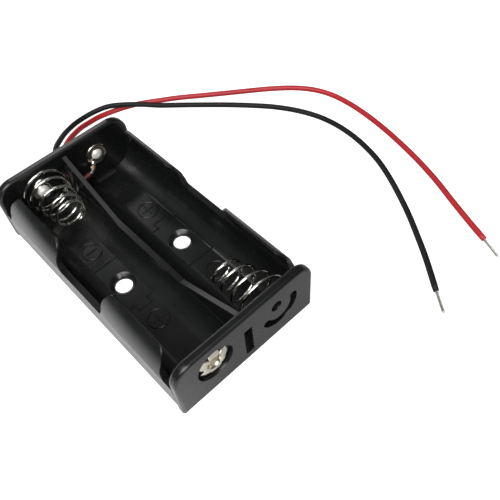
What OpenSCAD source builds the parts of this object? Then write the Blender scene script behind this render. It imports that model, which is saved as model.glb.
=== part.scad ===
// Two-bay holder for two size AA cells side by side, with snap-in tabs and two flying leads.
// Frame: +X along the cells, +Y across the bays, +Z up, origin at the bottom centre. Millimetres.

/* [Cells] */
// Diameter of one cell
cell_d = 14.5; // [10:0.1:35]
// Length of one cell over its terminals
cell_l = 50.5; // [40:0.5:65]
// Clearance between a cell and the bay wall on each side
cell_gap = 0.1; // [0:0.05:0.5]

/* [Body] */
// Overall length over the two end walls
holder_l = 60.4; // [50:0.1:80]
// Thickness of each end wall
end_wall = 2; // [1.2:0.1:4]
// Height of the end walls
end_h = 14.2; // [12:0.1:30]
// Overhang of each end wall beyond the side walls
end_lip = 0.1; // [0:0.05:1]
// Thickness of the side walls
side_wall = 1.3; // [0.8:0.05:3]
// Thickness of the rib between the bays
divider_t = 1; // [0.8:0.1:3]
// Thickness of the floor
floor_t = 1.4; // [1:0.1:3]
// Radius of the cove between floor and side walls
cove_r = 4.5; // [1:0.1:6]
// Radius of the two top corners of an end wall
end_top_r = 4.2; // [2:0.1:7]
// Rounding of the edges of an end wall
edge_r = 0.6; // [0.2:0.05:0.9]
// Rounding of the two bottom edges along the side walls
foot_r = 1.2; // [0.3:0.1:1.3]
// Height of the side walls between the tabs
low_h = 7.4; // [4:0.1:12]

/* [Tabs] */
// Distance from the middle to the inner end of each tab
tab_start = 7.6; // [3:0.1:15]
// Distance from the outer end of each tab to the end wall
tab_gap = 3; // [1:0.1:8]
// Radius of the top corners of a tab
tab_corner_r = 3.2; // [0.5:0.1:4]
// Widening of a tab where it grows out of the side wall, at each end
tab_flare = 0.9; // [0:0.1:1.5]
// Wrap of a tab round the cell, above the horizontal
tab_wrap = 42; // [20:1:55]

/* [Divider] */
// Height of the flat middle of the rib
rib_h = 4.8; // [3:0.1:8]
// Distance from the middle to the foot of each slope
rib_flat = 10.5; // [5:0.1:18]
// Height of the rib where it meets an end wall
rib_end_h = 12.7; // [8:0.1:14]

/* [Contacts] */
// Height of the contact axis above the underside
contact_z = 8.1; // [6:0.1:12]
// Distance from the middle to the axis of a spring
spring_y = 7.3; // [7.1:0.1:7.8]
// Wire diameter of the springs
spring_wire = 0.6; // [0.4:0.05:1.2]
// Number of turns of a spring
spring_turns = 5.25; // [3:0.25:7]
// Radius of a spring at its free end
spring_tip_r = 3.5; // [2:0.1:4.8]
// Radius of a spring at the wall
spring_base_r = 5.5; // [5:0.1:6]
// Length of a spring standing free
spring_free = 10.9; // [8:0.1:14]
// Radius of the hollow barrel of an eyelet
eyelet_r = 1.7; // [1:0.1:2]
// Radius of the flange an eyelet has inside a bay
flange_r = 2.6; // [2.4:0.1:3.5]
// Radius of the flared outer end of an eyelet
flare_r = 3.5; // [2.6:0.1:3.8]

/* [Openings] */
// Radius of the screw holes in the floor
screw_r = 1.9; // [1:0.1:2.5]
// Radius of the screw countersinks at the floor
sink_r = 2.8; // [2:0.1:4]
// Width of the upright slot in each end wall
lead_slot_w = 1.9; // [1.4:0.1:3]
// Foot of the upright slot
lead_slot_z0 = 1.8; // [1.4:0.1:4]
// Top of the upright slot
lead_slot_z1 = 10; // [6:0.1:11]
// Radius of the round recess behind an eyelet
recess_r = 4.05; // [3:0.05:5]
// Depth of the round recess behind an eyelet
recess_depth = 1.2; // [0.5:0.1:1.4]
// Mean radius of the curved slot behind a spring
curved_slot_r = 3.7; // [2.5:0.05:5]
// Width of the curved slot behind a spring
curved_slot_w = 1.7; // [0.6:0.1:2]
// Radius of the small hole above the curved slot
small_hole_r = 1.25; // [0.6:0.05:2]

/* [Leads] */
// Outer diameter of the insulation
lead_d = 1.3; // [0.8:0.1:2]
// Diameter of the bare conductor
strand_d = 0.7; // [0.3:0.1:1.2]

/* [Hidden] */
$fn = 64;
touch = 0.01;                                        // overshoot of cutting shapes
joint_gap = 0.05;                                    // room for solder at each end of the link
bay_w = cell_d + 2 * cell_gap;                       // clear width of a bay
pitch = bay_w + divider_t;                           // spacing of the two cell axes
bay_y = pitch / 2;                                   // cell axis from the middle
body_w = 2 * bay_w + divider_t + 2 * side_wall;      // width over the side walls
end_w = body_w + 2 * end_lip;                        // width over the end walls
wall_in = holder_l / 2 - end_wall;                   // inner face of an end wall
wall_out = holder_l / 2;                             // outer face of an end wall
cell_z = floor_t + cell_d / 2;                       // cell axis height
tab_end = wall_in - tab_gap;                         // outer end of a tab from the middle
tab_lip = 0.5;                                       // height of a tab over its wrap line
tab_in_r = bay_w / 2;                                // inner radius of a tab
tab_out_r = bay_w / 2 + side_wall;                   // outer radius of a tab
tab_out_z = low_h;                                   // height of the outer arc centre
rib_lap = 1;                                         // overlap of a slope with the flat rib
notch_l = 2.5;                                       // reach of the lead slot into the rib
small_hole_dy = -0.7;                                // small hole from the contact axis
small_hole_dz = 1.5;                                 // small hole above the contact axis
curved_slot_from = -151;                             // first angle of the curved slot
curved_slot_to = 12;                                 // last angle of the curved slot
floor_slot_l = 1.3;                                  // floor slot along the cell
floor_slot_w = 5.8;                                  // floor slot across the cell
sink_h = 0.8;                                        // depth of the countersink
ring_t = 0.35;                                       // thickness of an eyelet flange
rivet_r = 2.4;                                       // flange of the rivet inside the far spring
barrel_t = 0.3;                                      // thickness of an eyelet's barrel
lobe_t = 0.3;                                        // thickness of the flare at its rim
mouth_h = 0.8;                                       // height of an eyelet's mouth over the recess
lay_turn = 0.2;                                      // part of the last turn that lies flat
dome_h = 0.9;                                        // height of a contact dome
dome_r = 1.3;                                        // radius of a contact dome
sides = 8;                                           // sides of a swept wire
steps = 20;                                          // rings in one spring turn

// routes below are drawn from a wall face at 28.2 and move along with the far wall
route_shift = 28.2 - wall_in;

black_route = [
    [-26.4, -1.2, 5], [-26.5, -1, 5.7], [-26.8, -0.8, 6.4], [-27.2, -0.5, 6.9], [-27.8, -0.2, 7.4],
    [-28.5, -0.1, 7.6], [-29.3, 0, 7.7], [-30.4, 0, 7.8], [-32.6, 0.1, 7.9], [-35, 0.6, 7.9],
    [-37.2, 1.7, 7.5], [-39.3, 3.2, 6.7], [-41.4, 4.9, 5.6], [-43.5, 6.6, 4.4],
    [-45.4, 8.4, 3.3], [-47.1, 10.5, 2.3], [-48.5, 13, 1.5], [-49, 16, 1.2],
    [-48.4, 19.1, 1.5], [-46.7, 22.1, 2.1], [-44.1, 25.2, 2.2], [-41, 28.6, 1.9],
    [-38, 32, 1.2], [-34.4, 36.1, 0.8], [-30, 40.4, 0.7], [-25.5, 44.5, 0.7],
    [-21, 48.3, 0.7], [-16.4, 51.8, 0.7], [-11.4, 54.7, 0.7], [-6, 56.8, 0.7],
    [-0.6, 57.7, 0.7], [5, 57.6, 0.7], [10.2, 56.7, 0.7], [15, 55.3, 0.7],
    [20, 53.1, 0.7], [25, 50.4, 0.7], [30, 47.4, 0.7], [35, 44, 0.7],
    [40, 40.4, 0.7], [46.3, 35.4, 0.7]];
black_bare = [[46.3, 35.4, 0.7], [48.3, 33.9, 0.6], [50.2, 32.5, 0.5]];
black_joint = [
    [-27.2, -2.9, 4.7], [-27, -2.5, 4.2], [-26.8, -2, 3.9], [-26.5, -1.5, 4], [-26.4, -1.2, 4.4],
    [-26.4, -1.2, 4.9]];
red_route = [
    [-26.4, 3.6, 5.9], [-26.4, 3, 5.8], [-26.4, 2.3, 5.7], [-26.6, 1.6, 5.5], [-27, 0.9, 5.4],
    [-27.5, 0.4, 5.2], [-28.2, 0.1, 5.1], [-29.1, 0, 5], [-30.4, 0, 4.9], [-32.6, 0.2, 4.9],
    [-34.8, 1, 5], [-36.8, 2.3, 5.1], [-38.5, 4, 5.1], [-40.1, 5.9, 4.9], [-41.6, 7.8, 4.4],
    [-43.1, 9.8, 3.6], [-44.6, 12.2, 2.7], [-45.8, 15, 1.7], [-46.5, 18.2, 1], [-46.1, 21.6, 0.7],
    [-45, 25, 0.7], [-43.2, 28.9, 0.7], [-40.4, 33.1, 0.7], [-37.2, 37.6, 0.7],
    [-33.6, 42, 0.7], [-29.7, 46.8, 0.7], [-25.7, 51.8, 0.7], [-21.7, 56.6, 0.7],
    [-17.5, 60.8, 0.7], [-13, 63.8, 0.7], [-8.1, 65.4, 0.7], [-2.4, 65.8, 0.7],
    [3.6, 65.4, 0.7], [9.6, 64.5, 0.7], [15.6, 63.2, 0.7], [22, 61.5, 0.7],
    [28.8, 59.2, 0.7], [34.4, 56.9, 0.7], [40, 54.7, 0.7], [45.7, 52.6, 0.7]];
red_bare = [[45.7, 52.6, 0.7], [47.9, 51.8, 0.6], [50.1, 51, 0.5]];
red_joint = [
    [-27.4, 5.7, 7], [-27.3, 5.3, 6.4], [-27, 4.8, 6], [-26.6, 4.2, 5.9], [-26.4, 3.7, 5.9]];

// ---- small helpers ----

function unit(v) = v / norm(v);

// travel direction of a route at one of its points
function heading(p, i) = unit(p[min(i + 1, len(p) - 1)] - p[max(i - 1, 0)]);

// one ring of points round a route point
function wire_ring(p, i, r) =
    let (t = heading(p, i), a = unit(cross(t, abs(t[2]) > 0.9 ? [1, 0, 0] : [0, 0, 1])), b = cross(a, t))
    [for (k = [0 : sides - 1]) p[i] + r * (cos(360 * k / sides) * a + sin(360 * k / sides) * b)];

// round wire swept along a route
module wire(p, d) {
    n = len(p);
    pts = [for (i = [0 : n - 1]) each wire_ring(p, i, d / 2)];
    start = [[for (k = [0 : sides - 1]) k]];
    end = [[for (k = [0 : sides - 1]) (n - 1) * sides + sides - 1 - k]];
    skin = [for (i = [0 : n - 2]) for (k = [0 : sides - 1])
        let (a = i * sides + k, b = i * sides + (k + 1) % sides)
            each [[a, a + sides, b + sides], [a, b + sides, b]]];
    polyhedron(points = pts, faces = concat(start, skin, end), convexity = 10);
}

// turns a shape drawn flat in (across, up) into a bar running along X
module along_x(length) {
    rotate([90, 0, 90])
        linear_extrude(height = length)
            children();
}

// turns a revolved shape's axis into +X
module axis_x() {
    rotate([0, 90, 0])
        children();
}

// the part at the far end, turned half a turn about the upright axis
module half_turn() {
    rotate([0, 0, 180])
        children();
}

// ---- holder body ----

module bay_section() {
    translate([-bay_w / 2, floor_t + cove_r])
        square([bay_w, end_h]);
    translate([-(bay_w / 2 - cove_r), floor_t])
        square([bay_w - 2 * cove_r, end_h]);
    for (s = [-1, 1])
        translate([s * (bay_w / 2 - cove_r), floor_t + cove_r])
            circle(r = cove_r);
}

module trough_section() {
    difference() {
        union() {
            translate([-body_w / 2, foot_r])
                square([body_w, low_h - foot_r]);
            translate([-body_w / 2 + foot_r, 0])
                square([body_w - 2 * foot_r, low_h]);
            for (s = [-1, 1])
                translate([s * (body_w / 2 - foot_r), foot_r])
                    circle(r = foot_r);
        }
        for (s = [-1, 1])
            translate([s * bay_y, 0])
                bay_section();
        translate([-divider_t, rib_h])
            square([2 * divider_t, end_h]);
    }
}

module trough() {
    translate([-wall_in, 0, 0])
        along_x(2 * wall_in)
            trough_section();
}

// cross-section of a tab on the +Y side, from the low wall up round the cell
module tab_section() {
    reach = 2 * tab_out_r;
    intersection() {
        difference() {
            translate([bay_y, tab_out_z])
                circle(r = tab_out_r, $fn = 128);
            translate([bay_y, cell_z])
                circle(r = tab_in_r, $fn = 128);
        }
        polygon([[bay_y + tab_in_r / 2, low_h - touch], [bay_y + reach, low_h - touch],
            [bay_y + reach, cell_z + reach * tan(tab_wrap)], [bay_y, cell_z]]);
    }
}

// side view of a tab, drawn in (along, up): wider at the foot, rounded at the top
module tab_profile() {
    crest = cell_z + tab_in_r * sin(tab_wrap) + tab_lip;
    r = tab_corner_r;
    polygon([[tab_start - tab_flare, low_h - touch], [tab_end + tab_flare, low_h - touch],
        [tab_end, low_h + 2 * tab_flare], [tab_end, crest - r], [tab_start, crest - r],
        [tab_start, low_h + 2 * tab_flare]]);
    translate([tab_start + r, low_h])
        square([tab_end - tab_start - 2 * r, end_h]);
    for (x = [tab_start + r, tab_end - r])
        translate([x, crest - r])
            circle(r = r);
}

module tab() {
    intersection() {
        along_x(wall_in)
            tab_section();
        translate([0, body_w, 0])
            rotate([90, 0, 0])
                linear_extrude(height = body_w)
                    tab_profile();
    }
}

module all_tabs() {
    for (s = [0, 1])
        mirror([s, 0, 0])
            for (t = [0, 1])
                mirror([0, t, 0])
                    tab();
}

// edge of an end wall, drawn as (across the wall, outwards), with both corners rounded
module rim_section() {
    square([end_wall, end_top_r - edge_r]);
    translate([edge_r, 0])
        square([end_wall - 2 * edge_r, end_top_r]);
    for (x = [edge_r, end_wall - edge_r])
        translate([x, end_top_r - edge_r])
            circle(r = edge_r, $fn = 32);
}

// rounded top corner: centre at the origin, wall from 0 along +X, quarter towards +Y +Z
module rim_corner() {
    rotate([90, 0, 90])
        rotate_extrude(angle = 90, $fn = 64)
            rotate([0, 0, 90])
                mirror([0, 1, 0])
                    rim_section();
}

// end wall at the near end, outer face at wall_out
module end_plate() {
    side_y = end_w / 2 - end_top_r;
    side_z = end_h - end_top_r;
    translate([wall_in, 0, 0]) {
        translate([0, -side_y, 0])
            cube([end_wall, 2 * side_y, side_z]);
        translate([0, -side_y, side_z])
            rotate([-90, 0, 0])
                mirror([0, 1, 0])
                    linear_extrude(height = 2 * side_y)
                        rim_section();
        for (s = [0, 1])
            mirror([0, s, 0]) {
                translate([0, side_y, 0])
                    linear_extrude(height = side_z)
                        rim_section();
                translate([0, side_y, side_z])
                    rim_corner();
            }
    }
}

// sloping half of the rib between the bays
module rib_slope() {
    translate([0, divider_t / 2, 0])
        rotate([90, 0, 0])
            linear_extrude(height = divider_t)
                polygon([[rib_flat - rib_lap, floor_t], [wall_in, floor_t], [wall_in, rib_end_h],
                    [rib_flat, rib_h], [rib_flat - rib_lap, rib_h]]);
}

module screw_hole() {
    translate([0, 0, -touch])
        cylinder(r = screw_r, h = floor_t + 2 * touch);
    translate([0, 0, floor_t - sink_h])
        cylinder(r1 = screw_r, r2 = sink_r, h = sink_h);
    translate([0, 0, floor_t - touch])
        cylinder(r = sink_r, h = sink_h);
}

// openings behind an eyelet, at the near end on the -Y side
module eyelet_openings() {
    translate([wall_out - recess_depth, -bay_y, contact_z])
        axis_x()
            cylinder(r = recess_r, h = recess_depth + touch);
    translate([wall_in - touch, -bay_y, contact_z])
        axis_x()
            cylinder(r = eyelet_r, h = end_wall);
    translate([wall_in - floor_slot_l, -bay_y - floor_slot_w / 2, -touch])
        cube([floor_slot_l, floor_slot_w, floor_t + 2 * touch]);
}

// curved slot drawn flat, without its round ends
module curved_slot_section() {
    far = 2 * curved_slot_r;
    intersection() {
        difference() {
            circle(r = curved_slot_r + curved_slot_w / 2);
            circle(r = curved_slot_r - curved_slot_w / 2);
        }
        polygon([[0, 0], far * [cos(curved_slot_from), sin(curved_slot_from)], far * [-0.4, -1],
            far * [0.8, -1], far * [1, -0.4], far * [cos(curved_slot_to), sin(curved_slot_to)]]);
    }
}

// openings behind a spring, at the near end on the +Y side
module spring_openings() {
    translate([wall_in - touch, bay_y + small_hole_dy, contact_z + small_hole_dz])
        axis_x()
            cylinder(r = small_hole_r, h = end_wall + 2 * touch);
    translate([wall_in - touch, bay_y, contact_z]) {
        along_x(end_wall + 2 * touch)
            curved_slot_section();
        for (a = [curved_slot_from, curved_slot_to])
            translate([0, curved_slot_r * cos(a), curved_slot_r * sin(a)])
                axis_x()
                    cylinder(d = curved_slot_w, h = end_wall + 2 * touch, $fn = 32);
    }
}

module lead_slot() {
    translate([wall_in - notch_l, -lead_slot_w / 2, lead_slot_z0])
        cube([notch_l + end_wall + touch, lead_slot_w, lead_slot_z1 - lead_slot_z0]);
}

module holder_body() {
    color("#232325")
        difference() {
            union() {
                trough();
                all_tabs();
                end_plate();
                rib_slope();
                half_turn() {
                    end_plate();
                    rib_slope();
                }
            }
            for (s = [-1, 1])
                translate([0, s * bay_y, 0])
                    screw_hole();
            eyelet_openings();
            spring_openings();
            lead_slot();
            half_turn() {
                eyelet_openings();
                spring_openings();
                lead_slot();
            }
        }
}

// ---- contacts ----

// hollow rivet, its domed head inside the bay and its flare in the recess, axis along +X
module eyelet_shape() {
    seat_z = end_wall - recess_depth;
    bore = eyelet_r - barrel_t;
    color("#c9c6bd")
        translate([wall_in, -bay_y, contact_z])
            axis_x()
                rotate_extrude()
                    polygon([[0, -dome_h], [dome_r * 0.6, -dome_h * 0.85], [dome_r, -ring_t],
                        [flange_r, -ring_t], [flange_r, 0], [eyelet_r, 0], [eyelet_r, seat_z],
                        [flare_r, seat_z], [flare_r, seat_z + lobe_t],
                        [eyelet_r + barrel_t, seat_z + mouth_h], [bore, seat_z + mouth_h],
                        [bore, barrel_t], [0, barrel_t]]);
}

module positive_eyelet_near() {
    eyelet_shape();
}

module positive_eyelet_far() {
    half_turn()
        eyelet_shape();
}

// domed stud in the middle of the far spring
module spring_rivet_far() {
    color("#c9c6bd")
        translate([-wall_in, -spring_y, contact_z])
            axis_x()
                rotate_extrude()
                    polygon([[0, 0], [rivet_r, 0], [rivet_r, ring_t], [dome_r, ring_t],
                        [dome_r * 0.6, dome_h * 0.85], [0, dome_h]]);
}

// distance of the wire from the wall after u turns: close turns at both ends, open in the middle
function coil_rise(u) =
    (spring_free - spring_wire) * (1 - cos(180 * min(1, u / (spring_turns - lay_turn)))) / 2;

// radius of the wire's centre line after u turns: a round base turn, then an even taper
function coil_r(u) = spring_base_r + (spring_tip_r - spring_base_r) * max(0, u - 1) / (spring_turns - 1);

// wire centre of a spring whose base coil lies on the near wall on the +Y side
function coil_point(u) =
    [wall_in - spring_wire / 2 - coil_rise(u), spring_y - coil_r(u) * cos(360 * u),
        contact_z - coil_r(u) * sin(360 * u)];

module spring_shape() {
    color("#b9bcc0")
        wire([for (i = [0 : steps * spring_turns]) coil_point(i / steps)], spring_wire);
}

module negative_spring_near() {
    spring_shape();
}

module negative_spring_far() {
    half_turn()
        spring_shape();
}

// series link from the near spring to the near eyelet, through the notch in the rib
module link_wire() {
    from_y = -bay_y + flange_r + joint_gap;
    to_y = spring_y - spring_base_r - spring_wire / 2 - joint_gap;
    color("#b9bcc0")
        translate([wall_in - spring_wire / 2, from_y, contact_z])
            rotate([-90, 0, 0])
                cylinder(d = spring_wire, h = to_y - from_y, $fn = 24);
}

// ---- leads ----

module red_lead() {
    color("#c8283c")
        translate([route_shift, 0, 0])
            wire(red_route, lead_d);
}

module red_lead_tip() {
    color("#b8b4aa")
        translate([route_shift, 0, 0])
            wire(red_bare, strand_d);
}

module black_lead() {
    color("#1c1c1e")
        translate([route_shift, 0, 0])
            wire(black_route, lead_d);
}

module black_lead_tip() {
    color("#b8b4aa")
        translate([route_shift, 0, 0])
            wire(black_bare, strand_d);
}

// tinned strand between the far eyelet and the red insulation
module red_solder_joint() {
    color("#b8b4aa")
        translate([route_shift, 0, 0])
            wire(red_joint, strand_d);
}

// tinned strand between the far spring and the black insulation
module black_solder_joint() {
    color("#b8b4aa")
        translate([route_shift, 0, 0])
            wire(black_joint, strand_d);
}

holder_body();
positive_eyelet_near();
positive_eyelet_far();
spring_rivet_far();
negative_spring_far();
negative_spring_near();
link_wire();
red_lead();
red_lead_tip();
red_solder_joint();
black_lead();
black_lead_tip();
black_solder_joint();
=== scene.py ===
"""Looks of a two-bay holder for size AA cells: body finish, contacts, springs, leads and studio.

Lengths are millimetres up to mesh_object, which turns them into metres. Routes, the camera and the
lights are in metres.
"""

import logging
import math
from dataclasses import dataclass
from enum import Enum
from typing import Callable, Iterable, Sequence

import bpy
import numpy as np
from mathutils import Matrix, Vector

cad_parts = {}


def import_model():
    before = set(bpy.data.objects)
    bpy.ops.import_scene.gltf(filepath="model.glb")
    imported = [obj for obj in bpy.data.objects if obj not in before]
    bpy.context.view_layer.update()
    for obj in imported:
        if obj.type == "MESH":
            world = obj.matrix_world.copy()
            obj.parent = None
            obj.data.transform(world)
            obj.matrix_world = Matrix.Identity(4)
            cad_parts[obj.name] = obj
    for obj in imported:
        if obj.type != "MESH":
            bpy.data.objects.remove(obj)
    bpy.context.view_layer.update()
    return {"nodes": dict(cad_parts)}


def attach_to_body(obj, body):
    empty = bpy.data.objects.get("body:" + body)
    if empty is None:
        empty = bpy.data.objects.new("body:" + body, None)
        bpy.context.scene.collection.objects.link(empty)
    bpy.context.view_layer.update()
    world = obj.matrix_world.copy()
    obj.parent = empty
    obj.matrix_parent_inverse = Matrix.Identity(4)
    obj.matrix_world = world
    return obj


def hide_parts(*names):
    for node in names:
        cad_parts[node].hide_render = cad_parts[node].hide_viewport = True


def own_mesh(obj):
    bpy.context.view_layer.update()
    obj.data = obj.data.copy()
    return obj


LOG = logging.getLogger("cell_holder")
MM = 0.001
HOLDER = "holder"

Vec = Sequence[float]
Shape = tuple[np.ndarray, list]


class Slot(Enum):
    """Material slots of the record."""

    MOULDING = "black_moulding"
    NICKEL = "nickel_plate"
    SPRING = "spring_wire"
    TINNED = "tinned_copper"
    RED = "red_insulation"
    BLACK = "black_insulation"


class Bay(Enum):
    """The two bays, by the sign of their Y."""

    LEFT = -1
    RIGHT = 1


@dataclass(frozen=True)
class Sizes:
    """Main dimensions shared with the construction, in millimetres.

    Args:
        pitch: Distance between the two cell axes.
        wall_in: Inner face of an end wall, from the middle.
        wall_out: Outer face of an end wall, from the middle.
        floor: Thickness of the floor.
        contact_z: Height of the contacts' axis.
        wire: Diameter of the spring wire.
        stud_y: Distance of the far stud's axis from the middle plane.
        lead_d: Outer diameter of a lead.
    """

    pitch: float = 15.7
    wall_in: float = 28.2
    wall_out: float = 30.2
    floor: float = 1.4
    contact_z: float = 8.1
    wire: float = 0.6
    stud_y: float = 7.3
    lead_d: float = 1.3

    @property
    def bay_y(self) -> float:
        """Distance of a cell axis from the middle plane."""
        return self.pitch / 2


SIZES = Sizes()


# ---------------------------------------------------------------- finishes


class Nodes:
    """Small builder for shader node trees.

    Args:
        tree: The node tree to fill. It is cleared first.
    """

    def __init__(self, tree: bpy.types.NodeTree) -> None:
        """Clears the tree."""
        self.tree = tree
        tree.nodes.clear()

    def add(self, kind: str, **values: object) -> bpy.types.Node:
        """Adds one node and sets its sockets and properties.

        Args:
            kind: Node type without its "ShaderNode" prefix.
            **values: Property names, or socket names with spaces as underscores.

        Returns:
            The new node.
        """
        node = self.tree.nodes.new("ShaderNode" + kind)
        for key, value in values.items():
            name = key.replace("_", " ")
            if name in node.inputs:
                node.inputs[name].default_value = value
            else:
                setattr(node, key, value)
        return node

    def link(self, a: bpy.types.NodeSocket, b: bpy.types.NodeSocket) -> None:
        """Joins an output socket to an input socket."""
        self.tree.links.new(a, b)

    def ramp(self, fac: bpy.types.NodeSocket, stops: Iterable[tuple[float, Vec]]) -> bpy.types.NodeSocket:
        """Maps a value through a colour ramp.

        Args:
            fac: Value to map.
            stops: Pairs of position and RGB colour.

        Returns:
            The colour output.
        """
        node = self.add("ValToRGB")
        band = node.color_ramp
        stops = list(stops)
        while len(band.elements) < len(stops):
            band.elements.new(0.5)
        for element, (position, colour) in zip(band.elements, stops):
            element.position = position
            element.color = (*colour, 1.0)
        self.link(fac, node.inputs["Fac"])
        return node.outputs["Color"]

    def span(self, value: bpy.types.NodeSocket, start: float, end: float, low: float, high: float,
             smooth: bool = False) -> bpy.types.NodeSocket:
        """Maps a value from one range onto another.

        Args:
            value: Value to map.
            start: Value that becomes low.
            end: Value that becomes high.
            low: Result at start.
            high: Result at end.
            smooth: Whether the change eases in and out.

        Returns:
            The mapped value.
        """
        node = self.add("MapRange", interpolation_type="SMOOTHSTEP" if smooth else "LINEAR")
        for key, number in (("From Min", start), ("From Max", end), ("To Min", low), ("To Max", high)):
            node.inputs[key].default_value = number
        self.link(value, node.inputs["Value"])
        return node.outputs["Result"]

    def combine(self, a: bpy.types.NodeSocket, b: bpy.types.NodeSocket,
                operation: str = "MULTIPLY") -> bpy.types.NodeSocket:
        """Combines two values, by multiplying them or by another operation.

        Args:
            a: First value.
            b: Second value.
            operation: Name of the operation.

        Returns:
            The result.
        """
        node = self.add("Math", operation=operation)
        self.link(a, node.inputs[0])
        self.link(b, node.inputs[1])
        return node.outputs[0]

    def axes(self, output: str) -> bpy.types.Node:
        """Splits one output of the texture coordinates into X, Y and Z.

        Args:
            output: Which coordinates, such as "Object".

        Returns:
            The node with the X, Y and Z outputs.
        """
        place, split = self.add("TexCoord"), self.add("SeparateXYZ")
        self.link(place.outputs[output], split.inputs[0])
        return split


@dataclass(frozen=True)
class ShadeAndFlux:
    """Darkening of a lead's inner end, inside the holder only: painted shade of the wall's notch and of the
    far wall, with some old flux.

    Args:
        unmarked_x: X up to which the surface keeps its own colour, in metres.
        dark_x: X from which it is fully darkened, in metres.
        unmarked_y: Y from which it keeps its own colour again, in metres.
        dark_y: Y up to which it may be darkened, in metres.
        colour: Colour of the darkened surface: painted shade with some flux.
    """

    unmarked_x: float = -0.0284
    dark_x: float = -0.0276
    unmarked_y: float = 0.02
    dark_y: float = 0.01
    colour: Vec = (0.07, 0.006, 0.008)

    def over(self, n: Nodes, colour: bpy.types.NodeSocket) -> bpy.types.NodeSocket:
        """Darkens a colour with painted shade and some flux where the mask lies.

        Args:
            n: Node tree of the finish.
            colour: The surface's own colour.

        Returns:
            The darkened colour.
        """
        # Painted shade, with some flux: the lead's end darkens inside the wall's notch and by the far wall.
        axes, mix = n.axes("Object"), n.add("Mix", data_type="RGBA")
        along = n.span(axes.outputs["X"], self.unmarked_x, self.dark_x, 0.0, 1.0)
        across = n.span(axes.outputs["Y"], self.unmarked_y, self.dark_y, 0.0, 1.0)
        n.link(n.combine(along, across), mix.inputs["Factor"])
        n.link(colour, mix.inputs[6])
        mix.inputs[7].default_value = (*self.colour, 1.0)
        return mix.outputs[2]


@dataclass(frozen=True)
class Finish:
    """A procedural finish.

    Args:
        slot: Material slot of the record that the finish stands for.
        colours: Two RGB colours the surface wanders between.
        rough: Lowest and highest roughness.
        metallic: 1 for bare metal, 0 otherwise.
        grain: Noise scale of the fine surface, per metre.
        bump: Height of the fine surface, in metres.
        drift: Noise scale of slow colour changes, per metre.
        coat: Weight of a clear gloss layer.
        ior: Index of refraction.
        shade_and_flux: Painted shade, with some old flux, on the surface, if any.
    """

    slot: Slot
    colours: tuple[Vec, Vec]
    rough: tuple[float, float]
    metallic: float = 0.0
    grain: float = 4000.0
    bump: float = 2e-6
    drift: float = 150.0
    coat: float = 0.0
    ior: float = 1.5
    shade_and_flux: ShadeAndFlux | None = None

    def material(self, name: str = "") -> bpy.types.Material:
        """Builds the material.

        Slow noise drives colour and roughness, and fine noise drives the bump.

        Args:
            name: Name of the material; the slot's own when empty.

        Returns:
            The new material.
        """
        mat = bpy.data.materials.new(name or self.slot.value)
        mat.use_nodes = True
        n = Nodes(mat.node_tree)
        out = n.add("OutputMaterial")
        bsdf = n.add("BsdfPrincipled", Metallic=self.metallic, IOR=self.ior, Coat_Weight=self.coat,
                     Coat_Roughness=0.12)
        place = n.add("TexCoord")
        slow = n.add("TexNoise", Scale=self.drift, Detail=4.0, Roughness=0.55)
        fine = n.add("TexNoise", Scale=self.grain, Detail=3.0, Roughness=0.6)
        for node in (slow, fine):
            n.link(place.outputs["Object"], node.inputs["Vector"])
        colour = n.ramp(slow.outputs["Fac"], [(0.3, self.colours[0]), (0.7, self.colours[1])])
        # Painted shade and flux darken the colour where the finish has them.
        if self.shade_and_flux:
            colour = self.shade_and_flux.over(n, colour)
        n.link(colour, bsdf.inputs["Base Color"])
        n.link(n.span(slow.outputs["Fac"], 0.0, 1.0, *self.rough), bsdf.inputs["Roughness"])
        bump = n.add("Bump", Strength=1.0, Distance=self.bump)
        n.link(fine.outputs["Fac"], bump.inputs["Height"])
        n.link(bump.outputs["Normal"], bsdf.inputs["Normal"])
        n.link(bsdf.outputs["BSDF"], out.inputs["Surface"])
        return mat


MOULDING = Finish(Slot.MOULDING, ((0.0045, 0.0048, 0.005), (0.007, 0.0075, 0.0075)), (0.2, 0.34),
                  grain=2500.0, bump=4e-6)
NICKEL = Finish(Slot.NICKEL, ((0.60, 0.56, 0.47), (0.76, 0.72, 0.63)), (0.16, 0.3),
                metallic=1.0, bump=3e-6)
# The domes' whiter, satin copy of the nickel plate: its near-white is a painted highlight.
DOME_HIGHLIGHT = Finish(Slot.NICKEL, ((0.94, 0.93, 0.88), (0.98, 0.97, 0.93)), (0.3, 0.42), metallic=0.35)
SPRING = Finish(Slot.SPRING, ((0.60, 0.59, 0.55), (0.74, 0.73, 0.68)), (0.07, 0.14),
                metallic=1.0, bump=1e-6)
TINNED = Finish(Slot.TINNED, ((0.62, 0.6, 0.56), (0.78, 0.76, 0.72)), (0.22, 0.4),
                metallic=1.0, bump=4e-6)
FLUX = Finish(Slot.TINNED, ((0.16, 0.07, 0.025), (0.42, 0.3, 0.16)), (0.15, 0.35),
              drift=1600.0, bump=8e-6, coat=0.6)
# The red lead's inner end is darkened: painted shade of the wall's notch and the far wall, with some flux.
RED = Finish(Slot.RED, ((0.37, 0.007, 0.012), (0.45, 0.011, 0.018)), (0.4, 0.52),
             bump=3e-6, shade_and_flux=ShadeAndFlux())
BLACK = Finish(Slot.BLACK, ((0.005, 0.006, 0.006), (0.010, 0.011, 0.011)), (0.46, 0.6),
               bump=3e-6, ior=1.3)


# ---------------------------------------------------------------- meshes


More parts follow.
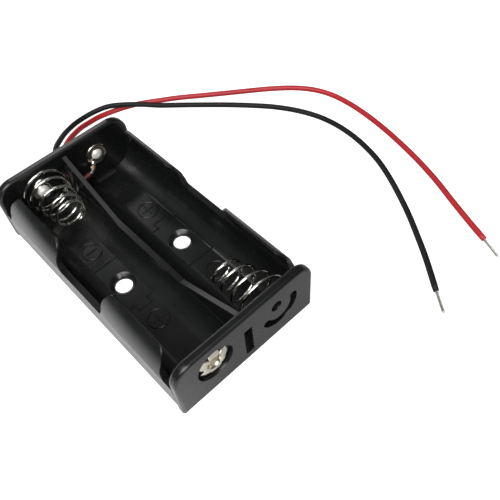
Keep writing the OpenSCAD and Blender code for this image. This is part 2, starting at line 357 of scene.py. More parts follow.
def mesh_object(name: str, verts: np.ndarray, faces: Sequence[Sequence[int]],
                material: bpy.types.Material, smooth: bool = True) -> bpy.types.Object:
    """Makes a mesh object whose place is in its vertices.

    Args:
        name: Object name.
        verts: Points in millimetres, one row each.
        faces: Vertex indices of each face.
        material: Its material.
        smooth: Whether faces are shaded smooth.

    Returns:
        The new object, linked to the scene.
    """
    mesh = bpy.data.meshes.new(name)
    mesh.from_pydata((np.asarray(verts, float) * MM).tolist(), [], [list(f) for f in faces])
    mesh.validate()
    mesh.materials.append(material)
    if smooth:
        mesh.polygons.foreach_set("use_smooth", np.ones(len(mesh.polygons), bool))
    mesh.update()
    obj = bpy.data.objects.new(name, mesh)
    bpy.context.scene.collection.objects.link(obj)
    LOG.info("piece %s: %d vertices, %d faces", name, len(mesh.vertices), len(mesh.polygons))
    return obj


def grid_faces(rows: int, cols: int) -> list[tuple[int, int, int, int]]:
    """Quads of a grid of rows by cols points, its columns closed into a loop."""
    return [(i * cols + k, i * cols + (k + 1) % cols, (i + 1) * cols + (k + 1) % cols, (i + 1) * cols + k)
            for i in range(rows - 1) for k in range(cols)]


def capped_faces(rows: int, cols: int) -> list[tuple[int, ...]]:
    """Quads of a closed-column grid with a face over its first and its last row."""
    first, last = tuple(range(cols))[::-1], tuple(range((rows - 1) * cols, rows * cols))
    return [*grid_faces(rows, cols), first, last]


def join_shapes(shapes: Iterable[Shape]) -> Shape:
    """Puts several shapes into one list of points and one of faces.

    Args:
        shapes: Points and faces of each shape.

    Returns:
        All points and faces.
    """
    verts, faces, base = [], [], 0
    for points, own in shapes:
        verts.append(points)
        faces += [tuple(i + base for i in face) for face in own]
        base += len(points)
    return np.concatenate(verts), faces


def round_angles(sides: int) -> np.ndarray:
    """Angles of evenly spaced points round a circle."""
    return np.linspace(0, 2 * math.pi, sides, endpoint=False)


def sweep(path: np.ndarray, radii: np.ndarray, sides: int) -> Shape:
    """Sweeps a round section along a path with a frame that doesn't twist.

    A point is the path's point plus its radius times the cosine of the angle along one side vector
    and the sine along the other. Each side vector is the last one made square to the new tangent.

    Args:
        path: Centre points, one row each.
        radii: Radius at each point.
        sides: Points round the section.

    Returns:
        Vertices and faces, with both ends closed.
    """
    tangent = np.gradient(path, axis=0)
    tangent /= np.linalg.norm(tangent, axis=1)[:, None]
    side = np.cross(tangent[0], (0.0, 0.0, 1.0))
    if np.linalg.norm(side) < 0.1:
        side = np.cross(tangent[0], (1.0, 0.0, 0.0))
    across = np.empty_like(path)
    for row, t in zip(across, tangent):
        side = side - t * (side @ t)
        side /= np.linalg.norm(side)
        row[:] = side
    up = np.cross(tangent, across)
    angle = round_angles(sides)[None, :, None]
    rings = path[:, None] + radii[:, None, None] * (np.cos(angle) * across[:, None]
                                                    + np.sin(angle) * up[:, None])
    return rings.reshape(-1, 3), capped_faces(len(path), sides)


def smooth_path(points: Sequence[Vec], per_span: int) -> np.ndarray:
    """Smooth curve through points.

    Each span is the cubic through its two points whose slopes are half the way between the
    neighbours of each.

    Args:
        points: Route points.
        per_span: Points made for each span.

    Returns:
        The points of the curve, the first and last route points included.
    """
    p = np.asarray(points, float)
    p = np.vstack([2 * p[0] - p[1], p, 2 * p[-1] - p[-2]])[:, None]
    a, b, c, d = p[:-3], p[1:-2], p[2:-1], p[3:]
    t = np.linspace(0, 1, per_span, endpoint=False)[None, :, None]
    curve = 0.5 * (2 * b + (c - a) * t + (2 * a - 5 * b + 4 * c - d) * t ** 2
                   + (3 * b - a - 3 * c + d) * t ** 3)
    return np.vstack([curve.reshape(-1, 3), p[-2]])


def revolve(profile: Sequence[tuple[float, float]], sides: int,
            shape: Callable[[np.ndarray, np.ndarray, np.ndarray], np.ndarray] | None = None) -> Shape:
    """Turns a profile of (radius, height) about the Z axis.

    A point is the radius times the cosine and the sine of its angle, at the profile's height.

    Args:
        profile: Points from one end of the axis to the other.
        sides: Points round the axis.
        shape: Optional rule that gives the radii from angle, radius and height.

    Returns:
        Vertices and faces, closed at both ends.
    """
    angle = round_angles(sides)[None]
    r, h = np.array(profile, float).T[:, :, None] + 0 * angle
    if shape:
        r = shape(angle, r, h)
    rings = np.stack([r * np.cos(angle), r * np.sin(angle), h], axis=2)
    return rings.reshape(-1, 3), capped_faces(len(profile), sides)


def to_x(verts: np.ndarray, centre: Vec, sign: int) -> np.ndarray:
    """Lays a shape turned about Z along the X axis.

    Args:
        verts: Points about the Z axis.
        centre: Where the shape's origin goes.
        sign: +1 or -1, the way its +Z points along X.

    Returns:
        The moved points.
    """
    x, y, z = verts.T
    return np.column_stack([sign * z, sign * x, y]) + np.asarray(centre, float)


def attach(obj: bpy.types.Object, node: str = "") -> None:
    """Makes a piece ride on the holder and hides the construction node it stands for.

    Args:
        obj: The piece.
        node: Construction node it stands for, if any.
    """
    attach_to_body(obj, HOLDER)
    if node:
        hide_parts(node)


# ---------------------------------------------------------------- the moulded body


@dataclass
class HolderBody:
    """Moulded body: finish and soft edges on the construction's own solid, and webs in its slots.

    Args:
        material: Black moulding.
        edge: Width of a soft edge.
        sharp: Least angle of an edge that is softened, in degrees.
        weld: Distance within which the solid's loose corners are joined.
        web_r: Inner and outer radius of a slot's web.
        web_arc: First and last angle of a web, in degrees.
        web_depth: Depth of a web below the wall's outer face.
        web: Thickness of a web.
    """

    material: bpy.types.Material
    edge: float = 0.16
    sharp: float = 40.0
    weld: float = 0.002
    web_r: tuple[float, float] = (2.7, 4.7)
    web_arc: tuple[float, float] = (-158.0, 19.0)
    web_depth: float = 1.5
    web: float = 0.2

    def dress(self, node: bpy.types.Object) -> None:
        """Gives the body node its finish and soft edges.

        Args:
            node: The body's construction node.
        """
        node.data.materials.clear()
        node.data.materials.append(self.material)
        node.modifiers.new("weld", "WELD").merge_threshold = self.weld * MM
        bevel = node.modifiers.new("bevel", "BEVEL")
        bevel.width = self.edge * MM
        bevel.segments = 2
        bevel.limit_method = "ANGLE"
        bevel.angle_limit = math.radians(self.sharp)
        bevel.use_clamp_overlap = True
        LOG.info("piece %s: construction solid with soft edges", node.name)

    def webs(self) -> None:
        """Makes the thin web that closes each curved slot part way through its wall.

        A web is a rectangle of radius and depth carried along the slot's arc.
        """
        steps = 48
        arc = np.radians(np.linspace(*self.web_arc, steps))
        outer = SIZES.wall_out - self.web_depth
        low, high = self.web_r
        section = ((low, outer - self.web), (high, outer - self.web), (high, outer), (low, outer))
        first = [i * steps for i in range(4)]
        faces: list = [(a + k, a + k + 1, b + k + 1, b + k)
                       for a, b in zip(first, first[1:] + first[:1]) for k in range(steps - 1)]
        faces += [tuple(first), tuple(a + steps - 1 for a in first[::-1])]
        for sign, end in ((1, "near"), (-1, "far")):
            rings = [np.column_stack([np.full(steps, sign * x), sign * (SIZES.bay_y + r * np.cos(arc)),
                                      SIZES.contact_z + r * np.sin(arc)]) for r, x in section]
            attach(mesh_object(f"slot_web_{end}", np.concatenate(rings), faces, self.material, smooth=False))


@dataclass
class FloorMarks:
    """Raised polarity signs and a plain cell outline on each bay floor, laid out for the right bay.

    Args:
        material: Black moulding.
        height: How far the marks stand up.
        stroke: Width of a stroke.
        sink: How far a stroke's underside lies below the floor.
        plus_x: Place of the plus sign along the bay.
        minus_x: Place of the minus sign along the bay.
        arm: Half length of a sign's stroke.
        ring_r: Radius of the ring round a sign.
        cell: First and last X of the outlined cell.
        cell_half: Half width of the outlined cell.
        knob_x: X of the end of the cell's knob.
        knob_half: Half width of the cell's knob.
    """

    material: bpy.types.Material
    height: float = 0.2
    stroke: float = 0.34
    sink: float = 0.05
    plus_x: float = -11.9
    minus_x: float = 11.4
    arm: float = 1.2
    ring_r: float = 2.2
    cell: tuple[float, float] = (-6.0, 6.5)
    cell_half: float = 3.3
    knob_x: float = -7.6
    knob_half: float = 1.6

    def section(self) -> np.ndarray:
        """Section of a stroke as rows of offset and height, its closing side under the floor."""
        w, h, z = self.stroke / 2, self.height, SIZES.floor
        return np.array([(w, z - self.sink), (w * 0.8, z + h * 0.8), (w * 0.45, z + h), (-w * 0.45, z + h),
                         (-w * 0.8, z + h * 0.8), (-w, z - self.sink)])

    def bar(self, a: Vec, b: Vec) -> Shape:
        """A straight raised stroke: the section carried from one floor point to another.

        Args:
            a: Where it starts.
            b: Where it ends.

        Returns:
            Vertices and faces.
        """
        start, end = np.array(a, float), np.array(b, float)
        t = (end - start) / np.linalg.norm(end - start)
        n, w, (offset, height) = np.array([-t[1], t[0]]), self.stroke / 2, self.section().T
        verts = np.concatenate([np.column_stack([at + n * offset[:, None], height])
                                for at in (start - t * w, end + t * w)])
        k = len(offset)
        sides: list = [(i, (i + 1) % k, k + (i + 1) % k, k + i) for i in range(k)]
        return verts, [*sides, tuple(range(k))[::-1], tuple(range(k, 2 * k))]

    def ring(self, centre: Vec) -> Shape:
        """A raised ring: the section carried round a centre on the floor.

        Args:
            centre: Floor point in its middle.

        Returns:
            Vertices and faces.
        """
        cols = 64
        angle = round_angles(cols)
        offset, height = self.section().T[:, :, None]
        r = self.ring_r + offset
        verts = np.stack([centre[0] + r * np.cos(angle), centre[1] + r * np.sin(angle),
                          height + 0 * angle], axis=2).reshape(-1, 3)
        faces = [tuple(i % len(verts) for i in face) for face in grid_faces(len(offset) + 1, cols)]
        return verts, faces

    def build(self) -> None:
        """Makes the marks of both bays, the left bay's being the right one's turned half a turn."""
        low, high = self.cell
        line = [(low, -self.cell_half), (high, -self.cell_half), (high, self.cell_half),
                (low, self.cell_half), (low, self.knob_half), (self.knob_x, self.knob_half),
                (self.knob_x, -self.knob_half), (low, -self.knob_half), (low, -self.cell_half)]
        strokes = [((self.plus_x - self.arm, 0), (self.plus_x + self.arm, 0)),
                   ((self.plus_x, -self.arm), (self.plus_x, self.arm)),
                   ((self.minus_x, -self.arm), (self.minus_x, self.arm)), *zip(line[:-1], line[1:])]
        for bay in Bay:
            s = bay.value

            def at(point: Vec) -> Vec:
                """Floor point of this bay for a point of the right bay's layout."""
                return s * point[0], s * (SIZES.bay_y + point[1])

            rings = [self.ring(at((x, 0.0))) for x in (self.plus_x, self.minus_x)]
            verts, faces = join_shapes(rings + [self.bar(at(a), at(b)) for a, b in strokes])
            attach(mesh_object(f"floor_marks_{bay.name.lower()}", verts, faces, self.material, smooth=False))


# ---------------------------------------------------------------- contacts

DOME_LIFT = 0.2


def dome_highlight_finish(obj: bpy.types.Object, dome: bpy.types.Material, centre: Vec, radius: float) -> None:
    """Gives the dome's whiter plate, a painted highlight, to the faces inside a radius, seen along X, and
    clear of the wall.

    Args:
        obj: Eyelet or stud.
        dome: Whiter, satin copy of the nickel plate: a painted highlight.
        centre: Y and Z of the dome's axis.
        radius: Radius of the dome.
    """
    obj.data.materials.append(dome)
    for face in obj.data.polygons:
        x, y, z = (c / MM for c in face.center)
        if math.hypot(y - centre[0], z - centre[1]) < radius and abs(x) < SIZES.wall_in - DOME_LIFT:
            face.material_index = 1


@dataclass
class Eyelet:
    """Hollow rivet: domed head inside the bay, split and curled end in the recess.

    Args:
        node: Construction node it stands for.
        sign: +1 at the near end, -1 at the far end.
        material: Nickel plate.
        dome: Whiter, satin copy of the nickel plate: a painted highlight.
        head: How far the head sits off the barrel, across and up.
        dome_r: Radius of the dome.
        root: Radius at which the splits start.
        rim: Radius of the curled end.
        curl_h: Height above which the end is split.
        splits: Angle and half width of each split, in degrees.
    """

    node: str
    sign: int
    material: bpy.types.Material
    dome: bpy.types.Material
    head: tuple[float, float] = (0.0, 0.0)
    dome_r: float = 1.32
    root: float = 2.1
    rim: float = 3.62
    curl_h: float = 1.1
    splits: Sequence[tuple[float, float]] = ((347, 17), (54, 18), (118, 14), (182, 16), (235, 17), (309, 28))

    def split(self, angle: np.ndarray, r: np.ndarray, h: np.ndarray) -> np.ndarray:
        """Cuts a pointed gap into the curled end at each split.

        The reach falls from the rim to the root as the 0.7 power of the angle to a split.

        Args:
            angle: Angle of each point.
            r: Radius of each point before the cut.
            h: Height of each point.

        Returns:
            The radii, no larger than the reach beyond the root.
        """
        reach = np.full(angle.shape, self.rim)
        for middle, half in self.splits:
            off = np.abs((np.degrees(angle) - middle + 180) % 360 - 180) / half
            reach = np.minimum(reach, self.root + (self.rim - self.root) * np.clip(off - 0.12, 0, 1) ** 0.7)
        return np.where((r < self.root) | (h < self.curl_h), r, np.minimum(r, reach))

    def build(self) -> bpy.types.Object:
        """Makes the rivet by turning its head's and its barrel's profiles.

        Returns:
            Its object.
        """
        head, head_faces = revolve(
            [(0.0, -0.9), (0.55, -0.86), (0.95, -0.7), (1.22, -0.45), (1.3, -0.3), (1.42, -0.24), (1.7, -0.3),
             (2.1, -0.34), (2.42, -0.3), (2.56, -0.16), (2.58, 0.0), (1.7, 0.0), (1.68, 0.0)], 72)
        head[:, :2] += self.head
        barrel = revolve(
            [(1.66, -0.05), (1.7, 0.1), (1.7, 0.9), (1.9, 1.3), (2.3, 1.45), (2.9, 1.36), (3.5, 1.16),
             (self.rim, 1.24), (3.55, 1.38), (3.05, 1.58), (2.55, 1.74), (2.15, 1.82), (1.85, 1.8),
             (1.62, 1.64), (1.48, 1.3), (1.42, 0.6), (1.4, 0.05), (0.02, 0.0)], 240, self.split)
        verts, faces = join_shapes([(head, head_faces), barrel])
        centre = (self.sign * SIZES.wall_in, -self.sign * SIZES.bay_y, SIZES.contact_z)
        obj = mesh_object(self.node + "_finish", to_x(verts, centre, self.sign), faces, self.material)
        middle = (centre[1] + self.sign * self.head[0], centre[2] + self.head[1])
        dome_highlight_finish(obj, self.dome, middle, self.dome_r)
        return obj


@dataclass
class Stud:
    """Domed stud with a rim in the middle of the far spring.

    Args:
        material: Nickel plate.
        dome: Whiter, satin copy of the nickel plate: a painted highlight.
        dome_r: Radius of the dome.
    """

    material: bpy.types.Material
    dome: bpy.types.Material
    dome_r: float = 1.33

    def build(self) -> bpy.types.Object:
        """Makes the stud by turning its profile.

        Returns:
            Its object.
        """
        verts, faces = revolve(
            [(0.0, 0.0), (2.36, 0.0), (2.38, 0.16), (2.2, 0.31), (1.8, 0.34), (1.45, 0.3), (1.34, 0.5),
             (1.32, 1.2), (1.24, 1.42), (0.95, 1.66), (0.55, 1.82), (0.0, 1.86)], 72)
        centre = (-SIZES.wall_in, -SIZES.stud_y, SIZES.contact_z)
        obj = mesh_object("spring_stud_finish", to_x(verts, centre, 1), faces, self.material)
        dome_highlight_finish(obj, self.dome, centre[1:], self.dome_r)
        return obj


@dataclass
class CoilSpring:
    """Conical contact spring, its base coil on the end wall.

    Args:
        node: Construction node it stands for.
        sign: +1 at the near end, -1 at the far end.
        material: Spring wire.
        axis: Distance from the middle plane and height of the coil's axis.
        radii: Radius at the wall and at the free end.
        free: Length standing free.
        turns: Number of turns.
        even: 1 for an even pitch, 0 for turns that close at both ends.
        lean: How far the axis leans to the middle plane for each unit of length.
        squeezed: Share of the free length that is left when the spring is fully squeezed; not used.
        steps: Points of the wire's path for each turn.
        sides: Points round the wire.
        cut: Radius of the wire's cut ends, as a share of its diameter.
    """

    node: str
    sign: int
    material: bpy.types.Material
    axis: tuple[float, float]
    radii: tuple[float, float]
    free: float
    turns: float
    even: float
    lean: float = 0.0
    squeezed: float = 0.4
    steps: int = 48
    sides: int = 16
    cut: float = 0.38

    def path(self) -> np.ndarray:
        """Centre line of the wire.

        The angle grows evenly. The rise mixes an even one with a half cosine wave that closes the end
        turns, and the radius stays for half a turn and then changes evenly.

        Returns:
            Its points in millimetres.
        """
        turn = np.linspace(0, self.turns, int(self.turns * self.steps) + 1)
        part, angle = turn / self.turns, 2 * math.pi * turn
        rise = (self.free - SIZES.wire) * (self.even * part
                                           + (1 - self.even) * (1 - np.cos(math.pi * part)) / 2)
        change = np.maximum(0, turn - 0.5) / (self.turns - 0.5)
        r = self.radii[0] + (self.radii[1] - self.radii[0]) * change
        path = np.column_stack([SIZES.wall_in - SIZES.wire / 2 - rise,
                                self.axis[0] - self.lean * rise - r * np.cos(angle),
                                self.axis[1] - r * np.sin(angle)])
        path[:, :2] *= self.sign
        return path

    def build(self) -> bpy.types.Object:
        """Makes the spring by sweeping its wire, the cut ends a little rounded.

        Returns:
            Its object.
        """
        path = self.path()
        radii = np.full(len(path), SIZES.wire / 2)
        radii[[0, -1]] = SIZES.wire * self.cut
        return mesh_object(self.node + "_finish", *sweep(path, radii, self.sides), self.material)

    def dress(self, joint: str) -> None:
        """Puts the spring over its node.

        Args:
            joint: Joint that squeezes it; not used.
        """
        obj = self.build()
        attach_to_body(obj, HOLDER)
        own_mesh(obj)
        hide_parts(self.node)


@dataclass
class Contacts:
    """Eyelets, stud and springs of both bays.

    Args:
        nickel: Nickel plate.
        wire: Spring wire.
        far_head: How far the far eyelet's head sits off its barrel, across and up.
    """

    nickel: bpy.types.Material
    wire: bpy.types.Material
    far_head: tuple[float, float] = (0.6, 0.4)

    def dress(self) -> None:
        """Builds the contacts over their construction nodes."""
        # Domes get a whiter copy of the nickel plate: a painted highlight.
        dome = DOME_HIGHLIGHT.material("dome")
        near = Eyelet("positive_eyelet_near", 1, self.nickel, dome)
        far = Eyelet("positive_eyelet_far", -1, self.nickel, dome, head=self.far_head)
        for eyelet in (near, far):
            attach(eyelet.build(), eyelet.node)
        attach(Stud(self.nickel, dome).build(), "spring_rivet_far")
        CoilSpring("negative_spring_near", 1, self.wire, axis=(7.4, 8.5), radii=(4.9, 2.5), free=12.4,
                   turns=4.4, even=0.7, lean=0.12).dress("near_spring_squeeze")
        CoilSpring("negative_spring_far", -1, self.wire, axis=(6.6, 8.3), radii=(5.1, 3.0), free=11.3,
                   turns=5.2, even=0.2).dress("far_spring_squeeze")


# ---------------------------------------------------------------- leads and solder


@dataclass
class Lead:
    """Insulated lead with a stripped and tinned end.

    Args:
        finish: Finish of the insulation.
        bare: Finish of the tinned strands.
        route: Centre line of the insulation, in metres.
        tip: Centre line of the bare end, in metres.
        length: Length of the insulation, in metres; not used.
        strand_r: Radius of one strand.
        strand_off: Distance of the outer strands from the middle one.
        twist: Length in which the strands turn once.
    """

    finish: Finish
    bare: bpy.types.Material
    route: Sequence[Vec]
    tip: Sequence[Vec]
    length: float
    strand_r: float = 0.12
    strand_off: float = 0.21
    twist: float = 5.5

    @property
    def colour(self) -> str:
        """The lead's colour in a word."""
        return self.finish.slot.name.lower()

    def strands(self) -> bpy.types.Object:
        """Makes the bare end: one middle strand and six helices round it.

        Returns:
            Its object.
        """
        line = smooth_path(np.array(self.tip) / MM, 16)
        length = np.concatenate([[0], np.cumsum(np.linalg.norm(np.diff(line, axis=0), axis=1))])
        t = np.gradient(line, axis=0)
        t /= np.linalg.norm(t, axis=1)[:, None]
        side = np.cross(t, (0.0, 0.0, 1.0))
        side /= np.linalg.norm(side, axis=1)[:, None]
        up = np.cross(side, t)
        around, radii = 6, np.full(len(line), self.strand_r)
        shapes = []
        for k in range(around + 1):
            off = 0.0 if k == around else self.strand_off
            a = 2 * math.pi * (k / around + length / self.twist)[:, None]
            shapes.append(sweep(line + off * (np.cos(a) * side + np.sin(a) * up), radii, 8))
        return mesh_object(f"{self.colour}_strands", *join_shapes(shapes), self.bare)

    def dress(self) -> None:
        """Puts the insulation and the bare end over their nodes."""
        path = smooth_path(np.array(self.route) / MM, 6)
        radii = np.full(len(path), SIZES.lead_d / 2)
        radii[[0, -1]] *= 0.9
        tube = mesh_object(f"{self.colour}_insulation", *sweep(path, radii, 20), self.finish.material())
        strands, path = self.strands(), path * MM
        attach(tube, f"{self.colour}_lead")
        attach(strands, f"{self.colour}_lead_tip")
        LOG.info("%s lead is %.4f m long", self.colour, np.linalg.norm(np.diff(path, axis=0), axis=1).sum())


@dataclass
class SolderBlob:
    """Lumpy drop of solder or flux.

    Args:
        name: Object name.
        centre: Middle of the drop.
        size: Half sizes along X, Y and Z.
        material: Its finish.
        seed: Seed of the lumps.
    """

    name: str
    centre: Vec
    size: Vec
    material: bpy.types.Material
    seed: int

    def build(self) -> bpy.types.Object:
        """Makes the drop: an ellipsoid whose radius is one plus five small waves of random number.

        Returns:
            Its object.
        """
        rows, cols = 20, 32
        th, ph = np.linspace(0.02, math.pi - 0.02, rows)[:, None], round_angles(cols)[None]
        rng = np.random.default_rng(self.seed)
        lump = np.ones((rows, cols))
        for _ in range(5):
            k, m = rng.integers(1, 4), rng.integers(1, 4)
            lump += 0.07 * np.cos(k * ph + rng.uniform(0, 6.28)) * np.sin(m * th)
        ball = np.stack([lump * np.sin(th) * np.cos(ph), lump * np.sin(th) * np.sin(ph),
                         -lump * np.cos(th)], axis=2).reshape(-1, 3)
        verts = ball * np.array(self.size) + np.array(self.centre)
        return mesh_object(self.name, verts, capped_faces(rows, cols), self.material)


@dataclass
class Strand:
    """Short bare conductor between a contact and its lead.

    Args:
        name: Object name.
        points: Centre line.
        material: Its finish.
        radius: Radius of the bundle.
    """

    name: str
    points: Sequence[Vec]
    material: bpy.types.Material
    radius: float = 0.34

    def build(self) -> bpy.types.Object:
        """Makes the conductor, its radius swelling in gentle waves along it.

        Returns:
            Its object.
        """
        path = smooth_path(self.points, 8)
        wave = 1 + 0.1 * np.sin(np.linspace(0, 9, len(path)))
        return mesh_object(self.name, *sweep(path, self.radius * wave, 14), self.material)


def metres(points: Sequence[Vec]) -> list[tuple[float, float, float]]:
    """Points in metres from points in millimetres."""
    return [(x * MM, y * MM, z * MM) for x, y, z in points]


BLACK_ROUTE = metres((
    (-26.4, -1.2, 5), (-26.5, -1, 5.7), (-26.8, -0.8, 6.4), (-27.2, -0.5, 6.9), (-27.8, -0.2, 7.4),
    (-28.5, -0.1, 7.6), (-29.3, 0, 7.7), (-30.4, 0, 7.8), (-32.6, 0.1, 7.9), (-35, 0.6, 7.9),
    (-37.2, 1.7, 7.5), (-39.3, 3.2, 6.7), (-41.4, 4.9, 5.6), (-43.5, 6.6, 4.4),
    (-45.4, 8.4, 3.3), (-47.1, 10.5, 2.3), (-48.5, 13, 1.5), (-49, 16, 1.2),
    (-48.4, 19.1, 1.5), (-46.7, 22.1, 2.1), (-44.1, 25.2, 2.2), (-41, 28.6, 1.9),
    (-38, 32, 1.2), (-34.4, 36.1, 0.8), (-30, 40.4, 0.7), (-25.5, 44.5, 0.7),
    (-21, 48.3, 0.7), (-16.4, 51.8, 0.7), (-11.4, 54.7, 0.7), (-6, 56.8, 0.7),
    (-0.6, 57.7, 0.7), (5, 57.6, 0.7), (10.2, 56.7, 0.7), (15, 55.3, 0.7),
    (20, 53.1, 0.7), (25, 50.4, 0.7), (30, 47.4, 0.7), (35, 44, 0.7),
    (40, 40.4, 0.7), (46.3, 35.4, 0.7)))
BLACK_TIP = metres(((46.3, 35.4, 0.7), (48.3, 33.9, 0.6), (50.2, 32.5, 0.5)))
BLACK_LENGTH = 0.1528
RED_ROUTE = metres((
    (-26.4, 3.6, 5.9), (-26.4, 3, 5.8), (-26.4, 2.3, 5.7), (-26.6, 1.6, 5.5), (-27, 0.9, 5.4),
    (-27.5, 0.4, 5.2), (-28.2, 0.1, 5.1), (-29.1, 0, 5), (-30.4, 0, 4.9), (-32.6, 0.2, 4.9),
    (-34.8, 1, 5), (-36.8, 2.3, 5.1), (-38.5, 4, 5.1), (-40.1, 5.9, 4.9), (-41.6, 7.8, 4.4),
    (-43.1, 9.8, 3.6), (-44.6, 12.2, 2.7), (-45.8, 15, 1.7), (-46.5, 18.2, 1), (-46.1, 21.6, 0.7),
    (-45, 25, 0.7), (-43.2, 28.9, 0.7), (-40.4, 33.1, 0.7), (-37.2, 37.6, 0.7),
    (-33.6, 42, 0.7), (-29.7, 46.8, 0.7), (-25.7, 51.8, 0.7), (-21.7, 56.6, 0.7),
    (-17.5, 60.8, 0.7), (-13, 63.8, 0.7), (-8.1, 65.4, 0.7), (-2.4, 65.8, 0.7),
    (3.6, 65.4, 0.7), (9.6, 64.5, 0.7), (15.6, 63.2, 0.7), (22, 61.5, 0.7),
    (28.8, 59.2, 0.7), (34.4, 56.9, 0.7), (40, 54.7, 0.7), (45.7, 52.6, 0.7)))
RED_TIP = metres(((45.7, 52.6, 0.7), (47.9, 51.8, 0.6), (50.1, 51, 0.5)))
RED_LENGTH = 0.1520
RED_JOINT = ((-27.4, 5.7, 7), (-27.3, 5.3, 6.4), (-27, 4.8, 6), (-26.6, 4.2, 5.9), (-26.4, 3.7, 5.9))
BLACK_JOINT = ((-27.2, -2.9, 4.7), (-27, -2.5, 4.2), (-26.8, -2, 3.9), (-26.5, -1.5, 4),
               (-26.4, -1.2, 4.4), (-26.4, -1.2, 4.9))


@dataclass
class Wiring:
    """Both leads, their solder joints and the link wire.

    Args:
        bare: Finish of bare and tinned wire.
    """

    bare: bpy.types.Material

    def dress(self, link: bpy.types.Object) -> None:
        """Builds the wiring over its construction nodes.

        Args:
            link: The link wire's construction node, which keeps its own shape.
        """
        Lead(RED, self.bare, RED_ROUTE, RED_TIP, RED_LENGTH).dress()
        Lead(BLACK, self.bare, BLACK_ROUTE, BLACK_TIP, BLACK_LENGTH).dress()
        flux = FLUX.material("flux")
        attach(Strand("red_strand", RED_JOINT, self.bare).build(), "red_solder_joint")
        attach(Strand("black_strand", BLACK_JOINT, self.bare).build(), "black_solder_joint")
        for drop in (SolderBlob("red_solder_drop", (-27.5, 5.7, 7.0), (0.4, 0.6, 0.6), self.bare, 3),
                     SolderBlob("red_flux_drop", (-27.3, 5.0, 6.1), (0.45, 0.6, 0.7), flux, 5),
                     SolderBlob("black_solder_drop", (-27.3, -2.8, 4.7), (0.45, 0.45, 0.5), self.bare, 7)):
            attach(drop.build())
        link.data.materials.clear()
        link.data.materials.append(self.bare)
        LOG.info("piece %s: construction solid", link.name)


# ---------------------------------------------------------------- studio


@dataclass(frozen=True)
class SoftLight:
    """A rectangular soft light.

    Args:
        name: Light name.
        place: Where it stands, in metres.
        aim: Point it shines at.
        size: Edge lengths, in metres.
        power: Power in watts.
    """

    name: str
    place: Vec
    aim: Vec
    size: tuple[float, float]
    power: float

    def build(self) -> None:
        """Adds the light to the scene."""
        data = bpy.data.lights.new(self.name, "AREA")
        data.shape = "RECTANGLE"
        data.size, data.size_y = self.size
        data.energy = self.power
        obj = bpy.data.objects.new(self.name, data)
        obj.location = self.place
        obj.rotation_euler = (Vector(self.aim) - Vector(self.place)).to_track_quat("-Z", "Y").to_euler()
        bpy.context.scene.collection.objects.link(obj)


@dataclass(frozen=True)
class Camera:
    """The main camera.

    Args:
        place: Position, in metres.
        right: Unit vector to the right of the picture.
        up: Unit vector up the picture.
        lens: Focal length on a 36 mm sensor.
    """

    place: Vec
    right: Vec
    up: Vec
    lens: float

    def build(self) -> None:
        """Adds the camera and makes it the scene's own."""
        data = bpy.data.cameras.new("camera")
        data.sensor_width = 36.0
        data.lens = self.lens
        data.clip_start = 0.005
        obj = bpy.data.objects.new("camera", data)
        r, u = Vector(self.right).normalized(), Vector(self.up).normalized()
        back = r.cross(u).normalized()
        m = Matrix((r, back.cross(r), back)).transposed().to_4x4()
        m.translation = Vector(self.place)
        obj.matrix_world = m
        bpy.context.scene.collection.objects.link(obj)
        bpy.context.scene.camera = obj


LIGHTS = (SoftLight("overhead", (0.10, -0.30, 0.55), (0, 0.01, 0), (0.45, 0.45), 4.0),
          SoftLight("fill", (0.36, -0.12, 0.34), (-0.028, 0, 0.008), (0.22, 0.22), 1.1),
          SoftLight("zenith", (0.06, 0.14, 0.60), (0, 0.01, 0), (0.22, 0.22), 0.2),
          SoftLight("far_glow", (-0.395, 0.11, 0.339), (-0.03, 0, 0.014), (0.13, 0.09), 0.16))
CAMERA = Camera((0.07257, -0.03135, 0.10525), (0.6853, 0.7256, -0.0621), (-0.5616, 0.5808, 0.5893), 43.935)


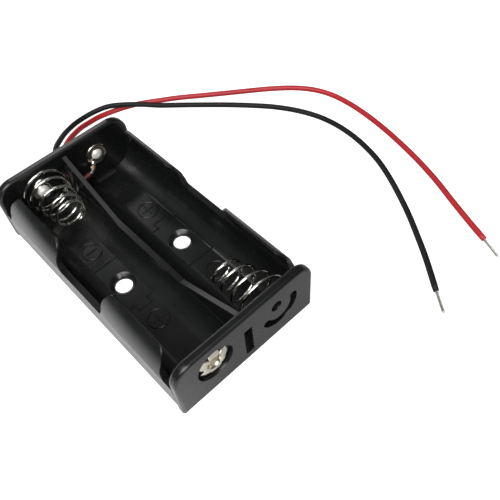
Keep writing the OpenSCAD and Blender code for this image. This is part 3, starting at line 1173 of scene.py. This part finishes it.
@dataclass
class Studio:
    """Pale table, soft lights and a white surround.

    Args:
        table_size: Edge of the table, in metres.
        table_z: Height of the table's top, in millimetres.
        table_grey: Grey of the table under the lights.
        right: Glow of the table on the +Y side.
        left: Highest glow of the table, close along the holder's -Y side.
        far: Share of that glow further out.
        glow_y: Y where the glow starts to rise, where it is highest, and where it has fallen.
        sky: Glow of most of the surround.
        back: Glow of the surround towards -X.
        back_x: X of the directions where that glow starts and where it is full.
    """

    table_size: float = 3.0
    table_z: float = -0.02
    table_grey: float = 0.4
    right: float = 0.1
    left: float = 0.75
    far: float = 0.25
    glow_y: tuple[float, float, float] = (0.0, -0.03, -0.09)
    sky: float = 0.1
    back: float = 1.6
    back_x: tuple[float, float] = (-0.8, -0.96)

    def build(self) -> None:
        """Makes the stage, lights, world and camera."""
        h, z = self.table_size / 2 / MM, self.table_z
        table = mesh_object("table", np.array([(-h, -h, z), (h, -h, z), (h, h, z), (-h, h, z)]),
                            [(0, 1, 2, 3)], self.lit_table(), smooth=False)
        for light in LIGHTS:
            light.build()
        self.surround()
        CAMERA.build()
        view = bpy.context.scene.view_settings
        view.view_transform = "Standard"
        view.look = "None"

    def lit_table(self) -> bpy.types.Material:
        """Makes a table that glows beside the holder and is white to the camera.

        Returns:
            Its material.
        """
        mat = bpy.data.materials.new("table")
        mat.use_nodes = True
        n = Nodes(mat.node_tree)
        out, bsdf = n.add("OutputMaterial"), n.add("BsdfPrincipled", Roughness=0.9)
        bsdf.inputs["Base Color"].default_value = (*[self.table_grey] * 3, 1.0)
        bsdf.inputs["Specular IOR Level"].default_value = 0.1
        bsdf.inputs["Emission Color"].default_value = (1.0, 1.0, 1.0, 1.0)
        y, path = n.axes("Object").outputs["Y"], n.add("LightPath")
        start, full, gone = self.glow_y
        glow = n.combine(n.span(y, start, full, self.right, self.left, smooth=True),
                       n.span(y, full, gone, 1.0, self.far, smooth=True))
        n.link(n.combine(path.outputs["Is Camera Ray"], glow, "MAXIMUM"), bsdf.inputs["Emission Strength"])
        n.link(bsdf.outputs["BSDF"], out.inputs["Surface"])
        return mat

    def surround(self) -> None:
        """Makes a world that is white to the camera and dim as a source of light."""
        world = bpy.data.worlds.new("surround")
        bpy.context.scene.world = world
        world.use_nodes = True
        n = Nodes(world.node_tree)
        out, mix, path = n.add("OutputWorld"), n.add("MixShader"), n.add("LightPath")
        white = n.add("Background", Color=(1, 1, 1, 1), Strength=1.0)
        soft = n.add("Background", Color=(1, 1, 1, 1))
        glow = n.span(n.axes("Generated").outputs["X"], *self.back_x, self.sky, self.back, smooth=True)
        n.link(glow, soft.inputs["Strength"])
        seen = n.combine(path.outputs["Is Camera Ray"], path.outputs["Is Transmission Ray"], "MAXIMUM")
        for start, end in ((seen, mix.inputs["Fac"]), (soft.outputs[0], mix.inputs[1]),
                           (white.outputs[0], mix.inputs[2]), (mix.outputs[0], out.inputs["Surface"])):
            n.link(start, end)


# ---------------------------------------------------------------- assembly


def main() -> None:
    """Builds the whole scene round the construction's frame."""
    logging.basicConfig(level=logging.INFO, format="%(name)s: %(message)s")
    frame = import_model()
    moulding, nickel, wire, bare = (f.material() for f in (MOULDING, NICKEL, SPRING, TINNED))
    body = HolderBody(moulding)
    body.dress(frame["nodes"]["holder_body"])
    body.webs()
    FloorMarks(moulding).build()
    Contacts(nickel, wire).dress()
    Wiring(bare).dress(frame["nodes"]["link_wire"])
    Studio().build()


if __name__ == "__main__":
    main()
